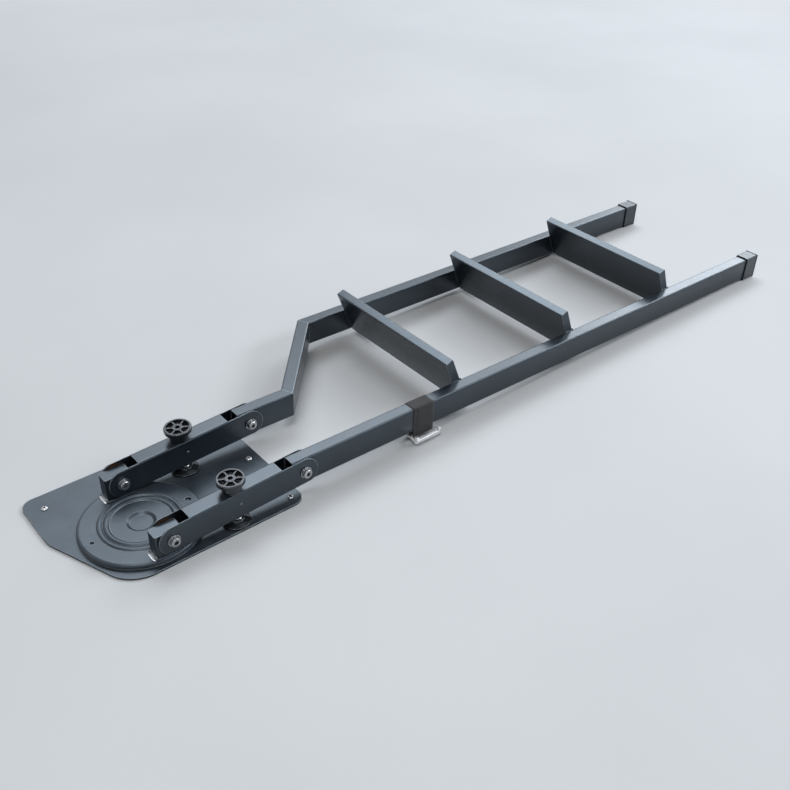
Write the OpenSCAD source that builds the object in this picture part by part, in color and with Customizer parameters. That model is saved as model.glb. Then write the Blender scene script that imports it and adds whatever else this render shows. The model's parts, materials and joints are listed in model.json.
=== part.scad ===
// Swivelling ladder that lies stowed beside its turntable and hangs from it when in use.
// Millimetres. The origin is on the turntable's axis at the underside of the mounting plate.
// The stowed ladder points along +X, the narrow side rail is at -Y and +Z is up.

/* [Mounting plate] */
// Thickness of the mounting plate
plate_t = 3; // [2:0.5:6]
// Distance from the turntable axis to the plate's end under the arms
plate_right = 198; // [190:1:198]
// Distance from the turntable axis to the plate's other end
plate_left = 110; // [105:1:120]
// Distance from the turntable axis to the plate's near edge
plate_near = 88; // [88:1:110]
// Distance from the turntable axis to the plate's far edge
plate_far = 137; // [130:1:150]
// Radius of the plate's square corners
plate_corner_r = 18; // [8:1:24]
// Length of the slanted side beside the disc, along the plate
plate_chamfer_x = 51; // [35:1:60]
// Length of the slanted side beside the disc, across the plate
plate_chamfer_y = 131; // [100:1:140]
// Radius of the bends at both ends of the slanted side
plate_bend_r = 50; // [20:1:55]
// Radius of the plate's screw holes
screw_hole_r = 2.6; // [2:0.1:3.2]
// Distance of the two end screws from the turntable axis
end_screw_x = 182; // [176:1:184]
// Place across the plate of the end screw between the arms
end_screw_far_y = 32; // [20:1:44]
// Place across the plate of the end screw below the near arm
end_screw_near_y = -72; // [-78:1:-60]
// Distance of the corner screws from the turntable axis, along the plate
corner_screw_x = 86; // [80:1:90]
// Distance of the corner screws from the turntable axis, across the plate
corner_screw_y = 108; // [98:1:110]

/* [Turntable] */
// Radius of the pressed turntable disc
disc_r = 82; // [80:1:84]
// Height of the disc's top above the plate
disc_h = 8; // [7:0.5:9]
// Sheet thickness of the disc
disc_t = 2; // [1.5:0.1:2.5]
// Radius of the disc's rolled edge
disc_edge_r = 4.5; // [3:0.1:5]
// Height of the upright skirt below the rolled edge
skirt_h = 0.5; // [0.2:0.1:1.5]
// Radius of the double stiffening bead, at its middle
bead_r = 48.5; // [45:0.5:53]
// Width of one of the two beads
bead_w = 8.3; // [6:0.1:9]
// Height of the beads above the disc
bead_h = 2.4; // [1:0.1:3]
// Radius of the pressed centre dimple, at the disc's top
dimple_r = 19.5; // [16:0.5:24]
// Width of the dimple's sloped wall
dimple_slope = 4.5; // [2:0.5:6]
// Depth of the centre dimple
dimple_depth = 2.6; // [1.5:0.1:3]
// Radius of the pivot stud under the dimple
pivot_r = 9; // [5:0.5:12]
// Outer radius of the fixed bearing ring under the disc
race_r = 70; // [60:1:72]
// Width of the fixed bearing ring
race_w = 14; // [8:1:20]
// Radius of the bearing ring's thin foot on the plate
race_foot_r = 82; // [78:0.5:84]
// Thickness of the bearing ring's foot
race_foot_t = 1.5; // [1:0.1:2]
// Distance of the two gauge holes from the turntable axis
gauge_hole_x = 68; // [64:1:72]
// Radius of the smaller gauge hole
small_gauge_r = 3; // [1.5:0.1:3.5]
// Radius of the larger gauge hole
large_gauge_r = 4.5; // [2.5:0.1:5]

/* [Posts on the disc] */
// Half of the distance between the two arms' centre lines
arm_y = 68; // [66:0.5:69]
// Length of a post along the arm
post_len = 37; // [32:1:38]
// Distance from a post's outer end to its pin
post_back = 23.5; // [20:0.5:24]
// Height of a post above its pin
post_head = 13.5; // [12:0.5:16]
// Wall of a post
post_wall = 2.5; // [2:0.5:4]
// Place of the lower pins from the turntable axis
pin_x = 6; // [4:0.5:8]
// Height of the lower pins above the disc
pin_rise = 22.5; // [22.5:0.5:26]

/* [Arms] */
// Distance between the lower pin and the ladder pin
arm_span = 197; // [190:1:230]
// Slope of the arms when stowed
arm_pitch = 2.4; // [1.5:0.1:3.5]
// Width of an arm
arm_w = 26; // [26:0.5:30]
// Height of an arm
arm_h = 40; // [38:1:42]
// Wall of an arm
arm_wall = 2; // [1.5:0.1:2]
// Radius of an arm's outer corners
arm_corner_r = 3; // [2:0.5:4]
// Length of the lower fork, from its pin to the closed wall
lower_fork = 26; // [26:1:32]
// Length of the ladder fork, from its pin to the closed wall
ladder_fork = 34; // [32:1:40]

/* [Ladder rails] */
// Width of a rail
rail_w = 20; // [18:0.5:20]
// Height of a rail
rail_h = 40; // [38:1:40]
// Wall of a rail
rail_wall = 1.5; // [1.2:0.1:3]
// Radius of a rail's outer corners
rail_corner_r = 2.5; // [2:0.5:4]
// Length of a rail past the ladder pin, toward the arm
rail_back = 18.5; // [16:0.5:20]
// Distance from the ladder pin to the outer face of the foot caps
ladder_reach = 1026; // [980:1:1100]
// Distance between the rails where the treads are
ladder_gap = 268; // [240:1:300]
// Distance from the ladder pin to the first bend of the far rail
bend_start = 71; // [60:1:80]
// Distance from the ladder pin to the second bend of the far rail
bend_end = 204; // [180:1:215]

/* [Treads] */
// Distance from the ladder pin to the first tread's upper edge
tread_first = 265; // [250:1:280]
// Distance between treads
tread_pitch = 245; // [200:1:260]
// Depth of a tread
tread_depth = 84; // [70:1:90]
// Thickness of a tread
tread_t = 17.5; // [12:0.5:22]
// Height of a tread's upper edge above the rails
tread_rise = 35; // [28:1:40]
// Lean of the treads toward the hinge
tread_lean = 22.5; // [15:0.5:25]
// Wall of a tread
tread_wall = 1.5; // [1:0.1:3]
// Radius of a tread's edges
tread_edge_r = 3; // [2:0.5:5]
// Radius of the vent in a tread's end, which the rail covers
tread_vent_r = 3; // [2:0.5:4]

/* [Foot caps] */
// Length of a rail's foot cap
cap_len = 31; // [25:1:40]
// Wall of a foot cap round the rail
cap_wall = 2.2; // [1.5:0.1:3]
// Thickness of a foot cap's end
cap_end = 5; // [3:0.5:8]
// Radius of a foot cap's edges
cap_edge_r = 2; // [1:0.5:3]

/* [Bolts and washers] */
// Radius of the hinge bolts
bolt_r = 4; // [3:0.5:5]
// Radius of a bolt's socket head
bolt_head_r = 6.5; // [6:0.5:8]
// Height of a bolt's socket head
bolt_head_h = 5; // [4:0.2:8]
// Bevel round a socket head
bolt_bevel = 0.6; // [0.2:0.1:1]
// Radius of the hexagon socket in a bolt's head, over its corners
hex_r = 3.3; // [2:0.1:3.5]
// Depth of the hexagon socket
hex_depth = 3; // [2:0.1:3.5]
// Radius of the nuts, over their corners
nut_r = 7.5; // [7:0.5:9]
// Height of the nuts
nut_h = 6.5; // [5:0.5:8]
// Length of a bolt's end past its nut
bolt_tip = 2; // [1:0.5:4]
// Radius of the steel washers
washer_r = 8.5; // [8:0.5:10]
// Thickness of the steel washers
washer_t = 1.6; // [1:0.1:2]
// Radius of the bronze thrust washers
thrust_r = 17.5; // [15:0.5:20]
// Running clearance round a bolt
fit_gap = 0.06; // [0.02:0.01:0.1]
// Clearance between faces that slide past each other
side_gap = 0.1; // [0.1:0.05:0.3]

/* [Levelling feet] */
// Distance from the lower pin to the levelling feet
foot_x = 93.5; // [80:0.5:110]
// Radius of a glide
glide_r = 19.5; // [17:0.5:22]
// Height of a glide
glide_h = 8; // [7.5:0.5:8]
// Height of the glide's upright rim
glide_rim_h = 2.6; // [2:0.1:3.5]
// Radius of the glide's collar round the spindle
collar_r = 10; // [9:0.5:12]
// Depth of the spindle's socket in a glide
socket_depth = 4; // [3:0.5:5]
// Radius of a spindle
spindle_r = 5; // [4:0.5:6]
// Gap between a spindle and what it turns in
spindle_gap = 0.3; // [0.2:0.05:0.5]
// Radius of a handwheel
wheel_r = 19; // [15:0.5:22]
// Height of a handwheel above its arm
wheel_top = 20; // [18:0.5:26]
// Height of a handwheel's rim
wheel_rim_h = 7; // [5:0.5:9]
// Width of a handwheel's rim
wheel_rim_w = 3; // [2:0.1:4]
// Number of spokes
spokes = 6; // [5:1:8]
// Width of a spoke
spoke_w = 2; // [1.5:0.1:4]
// Radius of a handwheel's hub
hub_r = 7; // [6.5:0.1:8]
// Radius of the hole in the hub
hub_hole_r = 3.4; // [2:0.1:4]
// Thickness of a handwheel's web
wheel_web_t = 1.5; // [1:0.1:3]
// Radius of the boss below a handwheel
boss_r = 13; // [9:0.5:14]

/* [Strap] */
// Distance from the ladder pin to the strap's middle
strap_x = 207; // [150:1:225]
// Width of the strap
strap_w = 38; // [30:1:50]
// Thickness of the strap
strap_t = 1.6; // [1:0.1:3]
// Gap between the strap and the rail or the buckle
strap_gap = 0.3; // [0.2:0.1:0.5]
// Length of the strap's loop that hangs below the rail
strap_drop = 10; // [7:1:12]
// Thickness of the buckle
buckle_t = 2; // [1:0.5:3]
// Width of the buckle's side bars
buckle_side = 3.5; // [3:0.5:6]
// Width of the buckle's front bar
buckle_bar = 5; // [3:0.5:8]
// Height of the buckle's front bar
buckle_lip = 4.5; // [3:0.5:5]
// Free length of the buckle's slot in front of the strap
buckle_slot = 7; // [3:0.5:12]
// Length of the buckle's plate behind the strap
buckle_plate = 12; // [6:0.5:16]

/* [Hidden] */
$fn = 64;
// Overlap of a cutting solid past the face that it cuts
over = 1;

// Heights that the turntable gives
disc_top = plate_t + disc_h;
pin_z = disc_top + pin_rise;
// Size of the joints' inner parts
arm_in_w = arm_w - 2 * arm_wall;
thrust_t = (arm_in_w - rail_w) / 2 - side_gap;
bore_r = bolt_r + fit_gap;
ear_r = arm_h / 2;
// Place and tilt of the ladder, which leans until its foot caps touch the floor
ladder_pin_x = pin_x + arm_span * cos(arm_pitch);
ladder_pin_z = pin_z + arm_span * sin(arm_pitch);
cap_h = rail_h + 2 * cap_wall;
cap_w = rail_w + 2 * cap_wall;
cap_corner = sqrt(pow(ladder_reach, 2) + pow(cap_h / 2, 2));
ladder_tilt = asin(ladder_pin_z / cap_corner) - atan2(cap_h / 2, ladder_reach);
// Middle lines of the rails
near_y = -arm_y;
far_y = near_y + rail_w + ladder_gap;
bend_angle = atan2(far_y - arm_y, bend_end - bend_start);
rail_end = ladder_reach - cap_end;
// Height of an arm's middle line over the plate at the feet
foot_drop = pin_z + foot_x * sin(arm_pitch) - plate_t;
// Inner faces of the strap's loop, from the near rail's middle line
loop_y = rail_w / 2 + strap_gap;
loop_z = rail_h / 2 + strap_gap + strap_drop;

// Rectangle with round corners, middle at the origin
module round_rect(w, h, r) {
    square([w - 2 * r, h], center = true);
    square([w, h - 2 * r], center = true);
    for (sx = [-1, 1], sy = [-1, 1]) {
        translate([sx * (w / 2 - r), sy * (h / 2 - r)]) circle(r);
    }
}

// Rectangular tube along +X from x0 to x1, middle on the X axis
module box_tube(x0, x1, w, h, wall, r) {
    translate([x0, 0, 0]) rotate([90, 0, 90]) linear_extrude(x1 - x0) difference() {
        round_rect(w, h, r);
        round_rect(w - 2 * wall, h - 2 * wall, max(r - wall, 0.4));
    }
}

// Solid bar along +X with the tube's outline
module box_bar(x0, x1, w, h, r) {
    translate([x0, 0, 0]) rotate([90, 0, 90]) linear_extrude(x1 - x0) round_rect(w, h, r);
}

// Cylinder across the ladder, middle on the X axis
module cross_bar(r, len) {
    rotate([90, 0, 0]) cylinder(r = r, h = len, center = true);
}

// Frame of an arm: origin at its lower pin, +X along the arm
module on_arm(y) {
    translate([pin_x, y, pin_z]) rotate([0, -arm_pitch, 0]) children();
}

// Frame of the ladder: origin at its pins, +X along the rails
module on_ladder(y) {
    translate([ladder_pin_x, y, ladder_pin_z]) rotate([0, ladder_tilt, 0]) children();
}

// Direction from one point to the next, in degrees
function heading(a, b) = atan2(b[1] - a[1], b[0] - a[0]);

// Round corner of a convex outline, as points on a circle that touches both of its sides
// Each corner of the outline is [x, y, radius]
function round_corner(before, corner, after) =
    let (start = heading(before, corner), turn = (heading(corner, after) - start + 360) % 360,
        r = corner[2], back = r * tan(turn / 2), steps = ceil(turn / 5),
        x = corner[0] - back * cos(start) - r * sin(start),
        y = corner[1] - back * sin(start) + r * cos(start))
    [for (k = [0 : steps]) let (a = start + turn * k / steps) [x + r * sin(a), y - r * cos(a)]];

// Convex outline through the given corners, anticlockwise
module round_polygon(corners) {
    n = len(corners);
    polygon([for (i = [0 : n - 1])
        each round_corner(corners[(i + n - 1) % n], corners[i], corners[(i + 1) % n])]);
}

// Outline of the mounting plate, with a slanted side beside the disc
module plate_outline() {
    left = -plate_left;
    near = -plate_near;
    round_polygon([[plate_right, near, plate_corner_r], [plate_right, plate_far, plate_corner_r],
        [left, plate_far, plate_corner_r], [left, near + plate_chamfer_y, plate_bend_r],
        [left + plate_chamfer_x, near, plate_bend_r]]);
}

// Places of the screw holes
function screw_places() = [[end_screw_x, end_screw_far_y], [end_screw_x, end_screw_near_y],
    [-corner_screw_x, corner_screw_y], [corner_screw_x, corner_screw_y]];

module mounting_plate() {
    color("slategray") difference() {
        linear_extrude(plate_t) plate_outline();
        for (p = screw_places()) {
            translate([p[0], p[1], -over]) cylinder(r = screw_hole_r, h = plate_t + 2 * over, $fn = 32);
        }
    }
}

// Fixed ring that carries the disc
module turntable_race() {
    color("dimgray") translate([0, 0, plate_t]) difference() {
        union() {
            cylinder(r = race_r, h = disc_h - disc_t - side_gap, $fn = 96);
            cylinder(r = race_foot_r, h = race_foot_t, $fn = 128);
        }
        translate([0, 0, -over]) cylinder(r = race_r - race_w, h = disc_h + 2 * over, $fn = 96);
    }
}

// Stud under the dimple that the disc turns on
module pivot_stud() {
    color("silver") translate([0, 0, plate_t]) {
        cylinder(r = pivot_r, h = disc_h - dimple_depth - disc_t - side_gap);
    }
}

// Half of the disc's section: flat top, two beads, rolled edge and centre dimple
module disc_section() {
    t = disc_t;
    e = disc_edge_r;
    floor_r = dimple_r - dimple_slope;
    low = disc_h - dimple_depth - t;
    // radius of a bead's arch and height of its middle
    arch = (pow(bead_w / 2, 2) + pow(bead_h, 2)) / (2 * bead_h);
    arch_z = disc_h + bead_h - arch;
    difference() {
        union() {
            translate([dimple_r, disc_h - t]) square([disc_r - e - dimple_r, t]);
            for (s = [-0.5, 0.5]) {
                translate([bead_r + s * bead_w, 0]) intersection() {
                    translate([-bead_w / 2, disc_h - t]) square([bead_w, bead_h + t]);
                    translate([0, arch_z]) circle(arch, $fn = 96);
                }
            }
            // rolled edge and its short skirt
            translate([disc_r - e, disc_h - e]) intersection() {
                circle(e);
                square(e);
            }
            translate([disc_r - t, disc_h - e - skirt_h]) square([t, skirt_h]);
            // floor and sloped wall of the dimple
            translate([0, low]) square([floor_r, t]);
            polygon([[floor_r - t / 2, low], [floor_r + t / 2, low], [dimple_r + t / 2, disc_h - t],
                [dimple_r + t / 2, disc_h], [dimple_r, disc_h], [floor_r, low + t]]);
        }
        translate([disc_r - e, disc_h - e]) intersection() {
            circle(e - t);
            square(e);
        }
        for (s = [-0.5, 0.5]) {
            translate([bead_r + s * bead_w, arch_z]) circle(arch - t, $fn = 96);
        }
    }
}

module turntable_disc() {
    color("slategray") translate([0, 0, plate_t]) difference() {
        rotate_extrude($fn = 128) disc_section();
        translate([gauge_hole_x, 0, 0]) cylinder(r = large_gauge_r, h = disc_h + over, $fn = 32);
        translate([-gauge_hole_x, 0, 0]) cylinder(r = small_gauge_r, h = disc_h + over, $fn = 32);
    }
}

// Capped box post welded on the disc
module post(y) {
    h = pin_rise + post_head;
    color("darkslategray") translate([pin_x - post_back + post_len / 2, y, disc_top]) difference() {
        linear_extrude(h) round_rect(post_len, rail_w, rail_corner_r);
        translate([0, 0, -over]) linear_extrude(h - post_wall + over) {
            round_rect(post_len - 2 * post_wall, rail_w - 2 * post_wall, 1);
        }
        translate([post_back - post_len / 2, 0, pin_rise]) cross_bar(bore_r, rail_w + 2 * over);
    }
}

// Hinge bolt across an arm: socket head toward -Y, washers and nut toward +Y
module hinge_bolt() {
    half = arm_w / 2 + side_gap;
    color("gainsboro") {
        cross_bar(bolt_r, 2 * half);
        for (s = [-1, 1]) {
            translate([0, s * (half + washer_t / 2), 0]) cross_bar(washer_r, washer_t);
        }
        translate([0, -half - washer_t, 0]) rotate([90, 0, 0]) socket_head();
        translate([0, half + washer_t, 0]) rotate([-90, 0, 0]) {
            cylinder(r = nut_r, h = nut_h, $fn = 6);
            cylinder(r = bolt_r, h = nut_h + bolt_tip);
        }
    }
}

// Cylindrical head of a bolt with a bevelled edge and a hexagon socket
module socket_head() {
    h = bolt_head_h;
    difference() {
        union() {
            cylinder(r = bolt_head_r, h = h - bolt_bevel);
            translate([0, 0, h - bolt_bevel]) {
                cylinder(r1 = bolt_head_r, r2 = bolt_head_r - bolt_bevel, h = bolt_bevel);
            }
        }
        translate([0, 0, h - hex_depth]) cylinder(r = hex_r, h = h, $fn = 6);
    }
}

// Pair of bronze thrust washers beside a post or a rail
module thrust_washers() {
    color("peru") for (s = [-1, 1]) {
        translate([0, s * (rail_w + thrust_t) / 2, 0]) difference() {
            cross_bar(thrust_r, thrust_t);
            cross_bar(bore_r, thrust_t + 2 * over);
        }
    }
}

// Forked arm: rectangular tube whose top and bottom walls are cut back beside both pins
module arm(y) {
    color("darkslategray") on_arm(y) difference() {
        intersection() {
            box_tube(-ear_r, arm_span + ear_r, arm_w, arm_h, arm_wall, arm_corner_r);
            union() {
                translate([0, -arm_w, -arm_h]) cube([arm_span, 2 * arm_w, 2 * arm_h]);
                cross_bar(ear_r, 2 * arm_w);
                translate([arm_span, 0, 0]) cross_bar(ear_r, 2 * arm_w);
            }
        }
        translate([-arm_h, -arm_in_w / 2, -arm_h]) cube([arm_h + lower_fork, arm_in_w, 2 * arm_h]);
        translate([arm_span - ladder_fork, -arm_in_w / 2, -arm_h]) {
            cube([arm_h + ladder_fork, arm_in_w, 2 * arm_h]);
        }
        cross_bar(bore_r, 2 * arm_w);
        translate([arm_span, 0, 0]) cross_bar(bore_r, 2 * arm_w);
        translate([foot_x, 0, -arm_h]) cylinder(r = spindle_r + spindle_gap, h = 2 * arm_h);
    }
}

// Round glide that lies on the plate, with a socket for the spindle's tip
module glide(y) {
    x = pin_x + foot_x * cos(arm_pitch) + foot_drop * sin(arm_pitch);
    edge = 0.8;
    shoulder = 2;
    color("black") translate([x, y, plate_t]) difference() {
        rotate_extrude($fn = 96) polygon([[0, 0], [glide_r - edge, 0], [glide_r, edge],
            [glide_r, glide_rim_h], [glide_r - shoulder, glide_rim_h + edge],
            [collar_r + edge, glide_h - shoulder], [collar_r, glide_h], [0, glide_h]]);
        translate([0, 0, glide_h - socket_depth]) cylinder(r = spindle_r + 2 * spindle_gap, h = glide_h);
    }
}

// Threaded spindle from the handwheel down into the glide
module spindle(y) {
    foot_end = -(foot_drop - (glide_h - socket_depth) - spindle_gap) / cos(arm_pitch);
    top = ear_r + wheel_top - wheel_rim_h;
    color("silver") on_arm(y) translate([foot_x, 0, foot_end]) cylinder(r = spindle_r, h = top - foot_end);
}

// Handwheel with a plain rim, spokes, a drilled hub and a boss below
module handwheel(y) {
    seat = ear_r + spindle_gap;
    base = ear_r + wheel_top - wheel_rim_h;
    top = base + wheel_rim_h;
    web = base + wheel_web_t;
    bore = spindle_r + fit_gap;
    inner = wheel_r - wheel_rim_w;
    edge = 1;
    color("black") on_arm(y) translate([foot_x, 0, 0]) {
        rotate_extrude($fn = 96) polygon([[bore, seat], [boss_r, seat], [boss_r, base],
            [wheel_r - edge, base], [wheel_r, base + edge], [wheel_r, top - edge], [wheel_r - edge, top],
            [inner, top], [inner, web], [hub_r, web], [hub_r, top - edge / 2],
            [hub_hole_r, top - edge / 2], [hub_hole_r, base], [bore, base]]);
        for (i = [0 : spokes - 1]) {
            rotate([0, 0, (i + 0.5) * 360 / spokes]) translate([hub_r - edge, -spoke_w / 2, web - edge / 2]) {
                cube([inner + 2 * edge - hub_r, spoke_w, top - web - edge / 2]);
            }
        }
    }
}

// Straight near rail
module near_rail() {
    color("darkslategray") on_ladder(near_y) difference() {
        box_tube(-rail_back, rail_end, rail_w, rail_h, rail_wall, rail_corner_r);
        cross_bar(bore_r, rail_w + 2 * over);
    }
}

// Half-space beyond a mitre cut at a bend, on the side that the sign gives
module mitre(x, y, side) {
    big = 4 * rail_h;
    translate([x, y, 0]) rotate([0, 0, bend_angle / 2]) translate([side * big / 2, 0, 0]) {
        cube([big, 2 * big, big], center = true);
    }
}

// Upper stretch of the far rail, in the arm's line
module far_rail_upper() {
    color("darkslategray") on_ladder(arm_y) difference() {
        box_tube(-rail_back, bend_start + rail_w, rail_w, rail_h, rail_wall, rail_corner_r);
        cross_bar(bore_r, rail_w + 2 * over);
        mitre(bend_start, 0, 1);
    }
}

// Oblique stretch that widens the ladder
module far_rail_offset() {
    len = (bend_end - bend_start) / cos(bend_angle);
    color("darkslategray") on_ladder(arm_y) difference() {
        translate([bend_start, 0, 0]) rotate([0, 0, bend_angle]) {
            box_tube(-rail_w, len + rail_w, rail_w, rail_h, rail_wall, rail_corner_r);
        }
        mitre(bend_start, 0, -1);
        mitre(bend_end, far_y - arm_y, 1);
    }
}

// Lower stretch of the far rail, beside the treads
module far_rail_lower() {
    color("darkslategray") on_ladder(arm_y) difference() {
        translate([0, far_y - arm_y, 0]) {
            box_tube(bend_end - rail_w, rail_end, rail_w, rail_h, rail_wall, rail_corner_r);
        }
        mitre(bend_end, far_y - arm_y, -1);
    }
}

// Tread: flat box section with closed ends between the rails, leaning toward the hinge
module tread(i) {
    x = tread_first + i * tread_pitch;
    inner = 2 * tread_wall;
    // the vents lie behind the rails' middle lines
    vent = tread_depth / 2 - (rail_h / 2 + tread_rise) / cos(tread_lean);
    color("darkslategray") on_ladder(near_y + rail_w / 2) {
        translate([x, 0, rail_h / 2 + tread_rise]) rotate([0, -tread_lean, 0]) {
            translate([tread_t / 2, 0, -tread_depth / 2]) rotate([-90, 0, 0]) difference() {
                linear_extrude(ladder_gap) round_rect(tread_t, tread_depth, tread_edge_r);
                translate([0, 0, tread_wall]) linear_extrude(ladder_gap - inner) {
                    round_rect(tread_t - inner, tread_depth - inner, tread_edge_r - tread_wall / 2);
                }
                translate([0, -vent, -over]) cylinder(r = tread_vent_r, h = ladder_gap + 2 * over, $fn = 32);
            }
        }
    }
}

// Boot over a rail's end
module foot_cap(y) {
    color("black") on_ladder(y) difference() {
        box_bar(ladder_reach - cap_len, ladder_reach, cap_w, cap_h, cap_edge_r + 1);
        box_bar(ladder_reach - cap_len - over, rail_end, rail_w, rail_h, rail_corner_r);
    }
}

// Webbing looped round the near rail, with its lower end hanging below
module strap() {
    w = 2 * (loop_y + strap_t);
    h = rail_h + 2 * (strap_gap + strap_t) + strap_drop;
    color("black") on_ladder(near_y) translate([0, 0, -strap_drop / 2]) {
        box_tube(strap_x - strap_w / 2, strap_x + strap_w / 2, w, h, strap_t, rail_corner_r + strap_t);
    }
}

// Steel buckle that lies in the loop: the strap's near side passes down through its slot
module strap_buckle() {
    len = strap_w + 2 * (strap_gap + buckle_side);
    slot_back = loop_y - strap_gap;
    slot_front = loop_y + strap_t + buckle_slot;
    low = strap_gap + rail_corner_r - loop_z;
    color("silver") on_ladder(near_y) translate([strap_x - len / 2, 0, low]) {
        difference() {
            translate([0, -slot_front, 0]) cube([len, slot_front - slot_back + buckle_plate, buckle_t]);
            translate([buckle_side, -slot_front - over, -over]) {
                cube([len - 2 * buckle_side, slot_front - slot_back + over, buckle_t + 2 * over]);
            }
        }
        translate([0, -slot_front - buckle_bar, 0]) cube([len, buckle_bar, buckle_lip]);
    }
}

mounting_plate();
turntable_race();
pivot_stud();
turntable_disc();
post(-arm_y);  // near_post
post(arm_y);  // far_post
on_arm(-arm_y) hinge_bolt();  // near_lower_bolt
on_arm(arm_y) hinge_bolt();  // far_lower_bolt
on_arm(-arm_y) thrust_washers();  // near_post_washers
on_arm(arm_y) thrust_washers();  // far_post_washers
arm(-arm_y);  // near_arm
arm(arm_y);  // far_arm
on_ladder(-arm_y) hinge_bolt();  // near_ladder_bolt
on_ladder(arm_y) hinge_bolt();  // far_ladder_bolt
on_ladder(-arm_y) thrust_washers();  // near_rail_washers
on_ladder(arm_y) thrust_washers();  // far_rail_washers
glide(-arm_y);  // near_glide
glide(arm_y);  // far_glide
handwheel(-arm_y);  // near_handwheel
handwheel(arm_y);  // far_handwheel
spindle(-arm_y);  // near_spindle
spindle(arm_y);  // far_spindle
near_rail();
far_rail_upper();
far_rail_offset();
far_rail_lower();
tread(0);  // tread_1
tread(1);  // tread_2
tread(2);  // tread_3
foot_cap(near_y);  // near_foot_cap
foot_cap(far_y);  // far_foot_cap
strap();
strap_buckle();
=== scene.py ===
"""Looks of the swivelling tailgate ladder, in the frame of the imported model, in metres."""
import json
import math
import random

import bmesh
import bpy
from mathutils import Matrix, Vector


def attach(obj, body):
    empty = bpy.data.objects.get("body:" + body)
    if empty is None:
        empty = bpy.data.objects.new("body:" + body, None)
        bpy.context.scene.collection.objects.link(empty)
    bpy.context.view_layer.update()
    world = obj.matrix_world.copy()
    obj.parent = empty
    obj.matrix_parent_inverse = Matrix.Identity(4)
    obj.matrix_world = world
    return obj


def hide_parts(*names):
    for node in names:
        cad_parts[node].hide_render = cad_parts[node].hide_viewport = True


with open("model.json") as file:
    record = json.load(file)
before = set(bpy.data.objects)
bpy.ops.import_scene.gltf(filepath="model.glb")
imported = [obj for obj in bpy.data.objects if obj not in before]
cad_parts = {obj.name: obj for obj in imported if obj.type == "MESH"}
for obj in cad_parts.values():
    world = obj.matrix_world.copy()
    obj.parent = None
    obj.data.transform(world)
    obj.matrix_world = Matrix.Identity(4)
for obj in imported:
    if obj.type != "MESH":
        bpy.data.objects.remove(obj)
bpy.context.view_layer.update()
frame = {"nodes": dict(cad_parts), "record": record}


MM = 0.001

# Sizes of the CAD, in millimetres
PLATE_T, DISC_TOP = 3.0, 11.0
END_SCREW_X, END_SCREW_Y, END_SCREW_SPACING = 182.0, -20.0, 104.0
SIDE_SCREW_Y, SIDE_SCREW_SPACING = 108.0, 172.0
PIN_X, PIN_Z = 6.0, 33.5
POST_LEN, POST_BACK = 37.0, 23.5
ARM_Y, ARM_W, ARM_SPAN, EAR_R = 68.0, 26.0, 197.0, 20.0
ARM_PITCH = math.radians(2.4)
FOOT_X, GLIDE_H, GLIDE_SOCKET = 93.5, 8.0, 4.0
SPINDLE_R, SPINDLE_GAP = 5.0, 0.3
BOSS_R = 13.0
RAIL_W, RAIL_H, RAIL_R = 20.0, 40.0, 2.5
LADDER_REACH, CAP_WALL = 1026.0, 2.2
CAP_W, CAP_H = RAIL_W + 2 * CAP_WALL, RAIL_H + 2 * CAP_WALL
LADDER_PIN_X = PIN_X + ARM_SPAN * math.cos(ARM_PITCH)
LADDER_PIN_Z = PIN_Z + ARM_SPAN * math.sin(ARM_PITCH)
LADDER_TILT = (math.asin(LADDER_PIN_Z / math.hypot(LADDER_REACH, CAP_H / 2))
               - math.atan2(CAP_H / 2, LADDER_REACH))
LADDER_GAP = 268.0
FAR_Y = -ARM_Y + RAIL_W + LADDER_GAP
TREAD_COUNT, TREAD_FIRST, TREAD_PITCH = 3, 265.0, 245.0
TREAD_DEPTH, TREAD_RISE = 84.0, 35.0
TREAD_LEAN = math.radians(22.5)
STRAP_X, STRAP_W, STRAP_T, STRAP_GAP, STRAP_DROP = 207.0, 38.0, 1.6, 0.3, 10.0
BUCKLE_SIDE, BUCKLE_BAR, BUCKLE_SLOT, BUCKLE_PLATE = 3.5, 5.0, 7.0, 12.0

# Sizes of what only the scene has, in millimetres
TREAD_T, TREAD_EDGE_R, TREAD_SLICES = 14.0, 2.0, 12
BEAD_R, BEAD_OUT, BEAD_SUNK, BEAD_STEP, BEAD_SIDES = 1.7, 0.3, 0.8, 0.6, 10
RIPPLE_PITCH, RIPPLE_DEPTH = 3.0, 0.16
THREAD_DEPTH, THREAD_PITCH, THREAD_TOP, SPINDLE_IN_BOSS = 0.75, 1.5, -14.0, 13.0
# Outline of a collar as (radius, height)
COLLAR = [(5.75, 0.02), (7.9, 0.02), (7.9, 0.9), (7.4, 1.4), (6.2, 1.4), (5.75, 1.0)]
WHEEL_GRUB_Z = 26.0
NUT_GRUB_X, NUT_GRUB_Z = FOOT_X + 3.5, 2.5
FILLET_LEG, FILLET_PAST_POST = 5.0, 1.0
FLANGE, FLANGE_R = 0.7, 2.0
# Outline of a flange's rim as (distance along the rail from the cap's end, inset)
FLANGE_RIM = [(-1.7, 0.9), (-1.5, 0.1), (-1.3, 0.0), (-0.5, 0.0), (-0.3, 0.1), (-0.1, 0.9)]
# The strap's inner layer ends short of the front edge, and stays bare along the back edge
STRAP_RIB, INNER_T, INNER_SHORT, INNER_BARE = 3.2, 0.75, 1.0, 6.0
BUCKLE_LEVELS = [-1.5, 0, 2.0, 5.0, 9.5]
BUCKLE_TILT = math.radians(7)
BUCKLE_BEVEL = 0.6

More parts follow.
